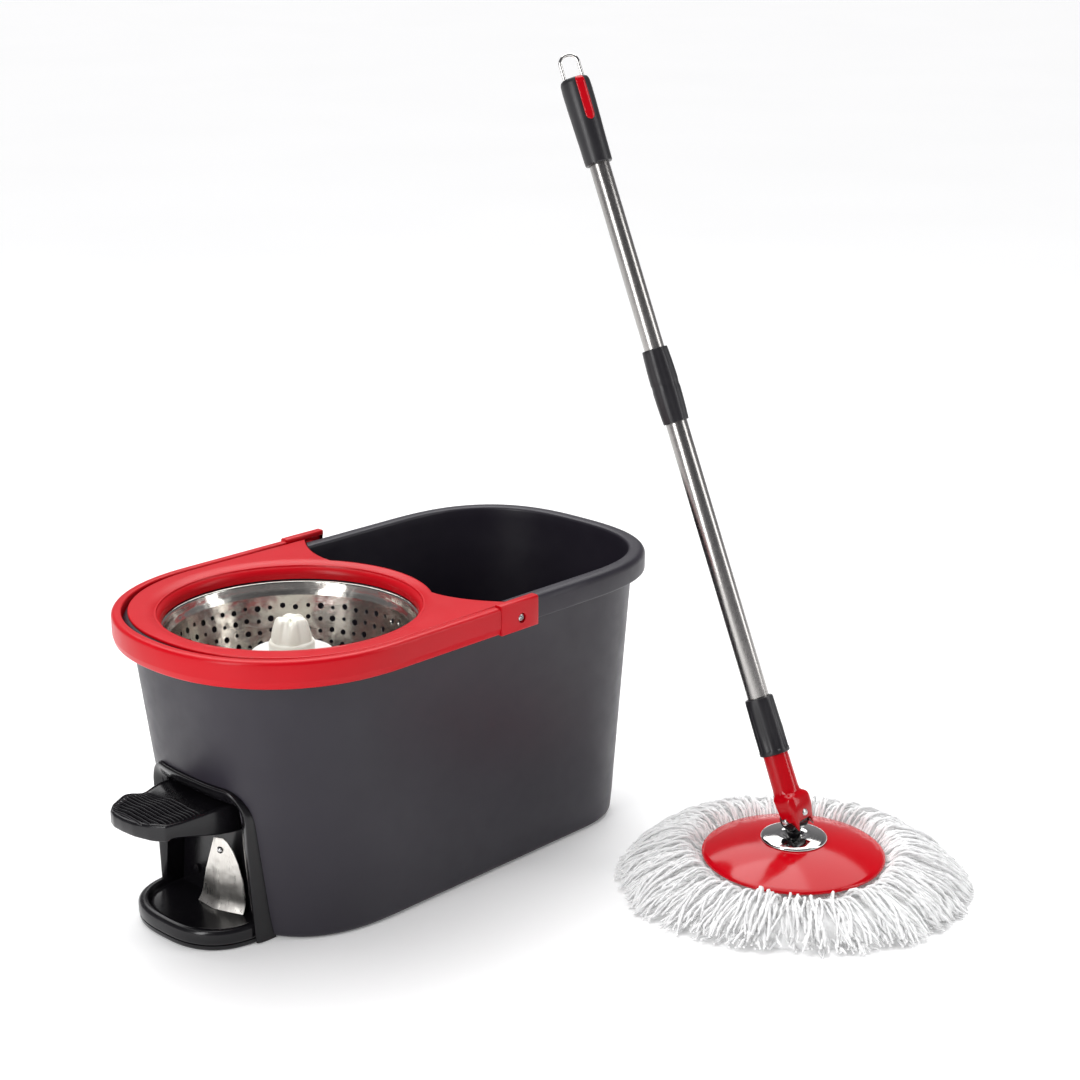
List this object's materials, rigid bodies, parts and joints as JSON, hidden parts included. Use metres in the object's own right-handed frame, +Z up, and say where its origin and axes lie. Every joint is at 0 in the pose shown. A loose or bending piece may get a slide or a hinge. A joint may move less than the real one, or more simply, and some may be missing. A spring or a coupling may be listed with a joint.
{
  "type": "spin mop set",
  "caption": "Oblong wringer bucket with a foot pedal, spinning basket and bail, and a telescopic mop with a round fringe head.",
  "frame": {"origin": "on the floor, at the middle of the tub's flat underside", "axes": "+Z up, +X along the bucket from the pedal towards the water compartment, -Y towards the mop"},
  "size_m": [0.626, 0.6135, 0.6986],
  "materials": {
    "tub_plastic": "satin moulded",
    "red_gloss": "glossy moulded",
    "black_gloss": "glossy moulded",
    "polished_steel": "polished stainless",
    "steel": "plain",
    "brushed_steel": "fine brushed stainless",
    "chrome": "bright",
    "dark_nylon": "moulded",
    "gear_nylon": "moulded",
    "bronze": "sintered",
    "hub_plastic": "moulded",
    "white_plastic": "moulded",
    "microfibre": "twisted strands",
    "grip_plastic": "satin moulded"
  },
  "bodies": {
    "bucket": {"tub": "tub_plastic", "top_frame": "red_gloss", "bail_screws": "steel", "pedal_housing": "black_gloss", "housing_screws": "steel", "toe_guard": "polished_steel", "guard_rivets": "steel", "pedal_pin": "steel", "return_spring": "steel", "gear_frame": "dark_nylon", "base_cover": "tub_plastic", "cover_screws": "steel", "spindle_bush_upper": "bronze", "spindle_bush_lower": "bronze", "layshaft_bushes": "bronze"},
    "bail": {"bail": "red_gloss", "bail_caps": "red_gloss"},
    "pedal": {"pedal": "black_gloss", "sector_gear": "gear_nylon", "sector_rivets": "steel"},
    "layshaft": {"layshaft": "steel", "layshaft_pinion": "gear_nylon", "crown_wheel": "gear_nylon"},
    "clutch": {"clutch_pinion": "gear_nylon"},
    "basket": {"basket": "polished_steel", "spindle": "steel", "spindle_clip": "steel", "hub_flange": "hub_plastic", "basket_hub": "hub_plastic"},
    "mop_post": {"swivel_post": "dark_nylon", "post_clip": "steel"},
    "mop_head": {"head_plate": "red_gloss", "head_bearing": "steel", "bearing_cap": "chrome", "fringe_ring": "white_plastic", "fringe": "microfibre"},
    "handle": {"yoke": "red_gloss", "tilt_pin": "steel", "front_stud": "steel", "lower_sleeve": "grip_plastic", "lower_tube": "brushed_steel"},
    "button": {"sleeve_button": "grip_plastic"},
    "collar": {"lock_collar": "grip_plastic"},
    "upper": {"upper_tube": "brushed_steel", "lock_cam": "dark_nylon", "grip": "grip_plastic", "grip_inlay": "red_gloss", "hang_loop": "chrome"}
  },
  "joints": [
    {"name": "bail_hinge", "type": "hinge", "parent": "bucket", "child": "bail", "pos_m": [0.019, 0, 0.246], "axis": [0, 1, 0], "range_deg": [0, 100]},
    {"name": "pedal_press", "type": "hinge", "parent": "bucket", "child": "pedal", "pos_m": [-0.188, 0, 0.104], "axis": [0, -1, 0], "range_deg": [0, 34], "stiffness_Nm_per_rad": 3, "springref_deg": -17.19},
    {"name": "layshaft_spin", "type": "hinge", "parent": "bucket", "child": "layshaft", "pos_m": [-0.114, 0, 0.06867], "axis": [0, -1, 0], "range_deg": [-166, 0]},
    {"name": "clutch_spin", "type": "hinge", "parent": "bucket", "child": "clutch", "pos_m": [-0.114, 0, 0.09], "axis": [0, 0, 1], "range_deg": [0, 497]},
    {"name": "basket_spin", "type": "hinge", "parent": "bucket", "child": "basket", "pos_m": [-0.114, 0, 0.1], "axis": [0, 0, 1], "continuous": true},
    {"name": "mop_lift", "type": "slide", "parent": "bucket", "child": "mop_post", "axis": [0, 0, 1], "range_m": [0, 0.3]},
    {"name": "head_spin", "type": "hinge", "parent": "mop_post", "child": "mop_head", "pos_m": [0.184, -0.313, 0.03], "axis": [0, 0, 1], "continuous": true},
    {"name": "handle_tilt", "type": "hinge", "parent": "mop_post", "child": "handle", "pos_m": [0.184, -0.313, 0.061], "axis": [1, 0, 0], "range_deg": [-14, 58]},
    {"name": "button_press", "type": "slide", "parent": "handle", "child": "button", "axis": [-1, 0, 0], "range_m": [0, 0.0015], "stiffness_N_per_m": 400},
    {"name": "collar_twist", "type": "hinge", "parent": "handle", "child": "collar", "pos_m": [0.184, -0.313, 0.061], "axis": [0, 0.3955, 0.9184], "range_deg": [0, 90]},
    {"name": "handle_extend", "type": "slide", "parent": "handle", "child": "upper", "axis": [0, 0.3955, 0.9184], "range_m": [0, 0.18]}
  ],
  "couplings": [
    {"joint": "layshaft_spin", "follows": "pedal_press", "ratio": -4.8571},
    {"joint": "clutch_spin", "follows": "pedal_press", "ratio": 14.571}
  ]
}
